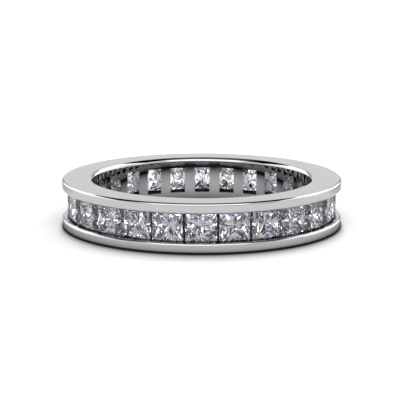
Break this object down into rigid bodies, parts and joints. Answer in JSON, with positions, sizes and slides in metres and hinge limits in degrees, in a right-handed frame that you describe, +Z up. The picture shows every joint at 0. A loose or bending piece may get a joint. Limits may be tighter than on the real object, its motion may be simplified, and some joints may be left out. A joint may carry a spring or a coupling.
{
  "type": "channel set band ring",
  "caption": "Polished white metal finger ring with a full circle of square cut clear stones held edge to edge in a channel between two plain rails.",
  "frame": {"origin": "centre of the hoop on the surface that it lies on", "axes": "+Z up along the finger hole's axis, -Y towards the first stone, which faces the camera"},
  "size_m": [0.022, 0.022, 0.0038],
  "materials": {
    "metal": "mirror polished white gold",
    "stone": "clear, sharply faceted and polished"
  },
  "bodies": {
    "root": {"band": "metal", "stone_01": "stone", "stone_02": "stone", "stone_03": "stone", "stone_04": "stone", "stone_05": "stone", "stone_06": "stone", "stone_07": "stone", "stone_08": "stone", "stone_09": "stone", "stone_10": "stone", "stone_11": "stone", "stone_12": "stone", "stone_13": "stone", "stone_14": "stone", "stone_15": "stone", "stone_16": "stone", "stone_17": "stone", "stone_18": "stone", "stone_19": "stone", "stone_20": "stone", "stone_21": "stone", "stone_22": "stone", "stone_23": "stone", "stone_24": "stone", "stone_25": "stone", "stone_26": "stone"}
  },
  "joints": []
}
